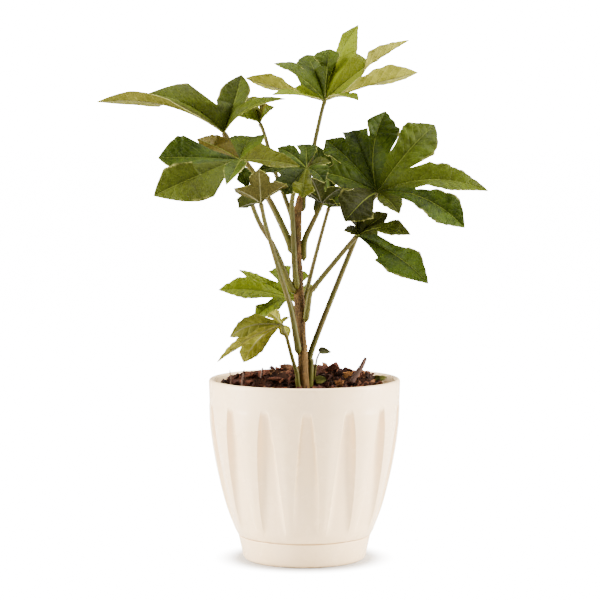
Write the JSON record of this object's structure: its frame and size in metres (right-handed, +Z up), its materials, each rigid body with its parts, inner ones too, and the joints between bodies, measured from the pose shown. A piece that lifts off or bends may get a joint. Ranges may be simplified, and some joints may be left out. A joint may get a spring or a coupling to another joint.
{
  "type": "potted_fatsia_japonica",
  "caption": "Fatsia japonica with glossy lobed leaves on clasping stalks, in a fluted cream plastic planter with a clip-on saucer and bark mulch",
  "frame": {"origin": "middle of the saucer's flat underside", "axes": "+Z up out of the planter, the plant is seen from -Y, +X to the right in that view"},
  "size_m": [0.3593, 0.1962, 0.5042],
  "materials": {
    "cream_plastic": "smooth glossy moulded plastic",
    "peat_soil": "matte crumbly peat",
    "bark_chips": "rough reddish bark chips",
    "trunk_bark": "dull brown bark with leaf scars",
    "leaf_stalk": "satin brownish green stalk",
    "leaf_green": "glossy dark green above, matte pale green below",
    "seedling_green": "soft matte green"
  },
  "bodies": {
    "root": {"pot": "cream_plastic", "saucer": "cream_plastic", "soil": "peat_soil", "bark_mulch": "bark_chips", "main_stem": "trunk_bark", "seedling": "seedling_green", "petiole_top": "leaf_stalk", "blade_top": "leaf_green", "petiole_upper_left": "leaf_stalk", "blade_upper_left": "leaf_green", "petiole_upper_centre": "leaf_stalk", "blade_upper_centre": "leaf_green", "petiole_left": "leaf_stalk", "blade_left": "leaf_green", "petiole_centre": "leaf_stalk", "blade_centre": "leaf_green", "petiole_lower_front_left": "leaf_stalk", "blade_lower_front_left": "leaf_green", "petiole_right_large": "leaf_stalk", "blade_right_large": "leaf_green", "petiole_right_low": "leaf_stalk", "blade_right_low": "leaf_green", "petiole_right_rear": "leaf_stalk", "blade_right_rear": "leaf_green", "petiole_centre_right": "leaf_stalk", "blade_centre_right": "leaf_green", "petiole_lower_rear_left": "leaf_stalk", "blade_lower_rear_left": "leaf_green", "petiole_lower_left": "leaf_stalk", "blade_lower_left": "leaf_green"}
  },
  "joints": []
}
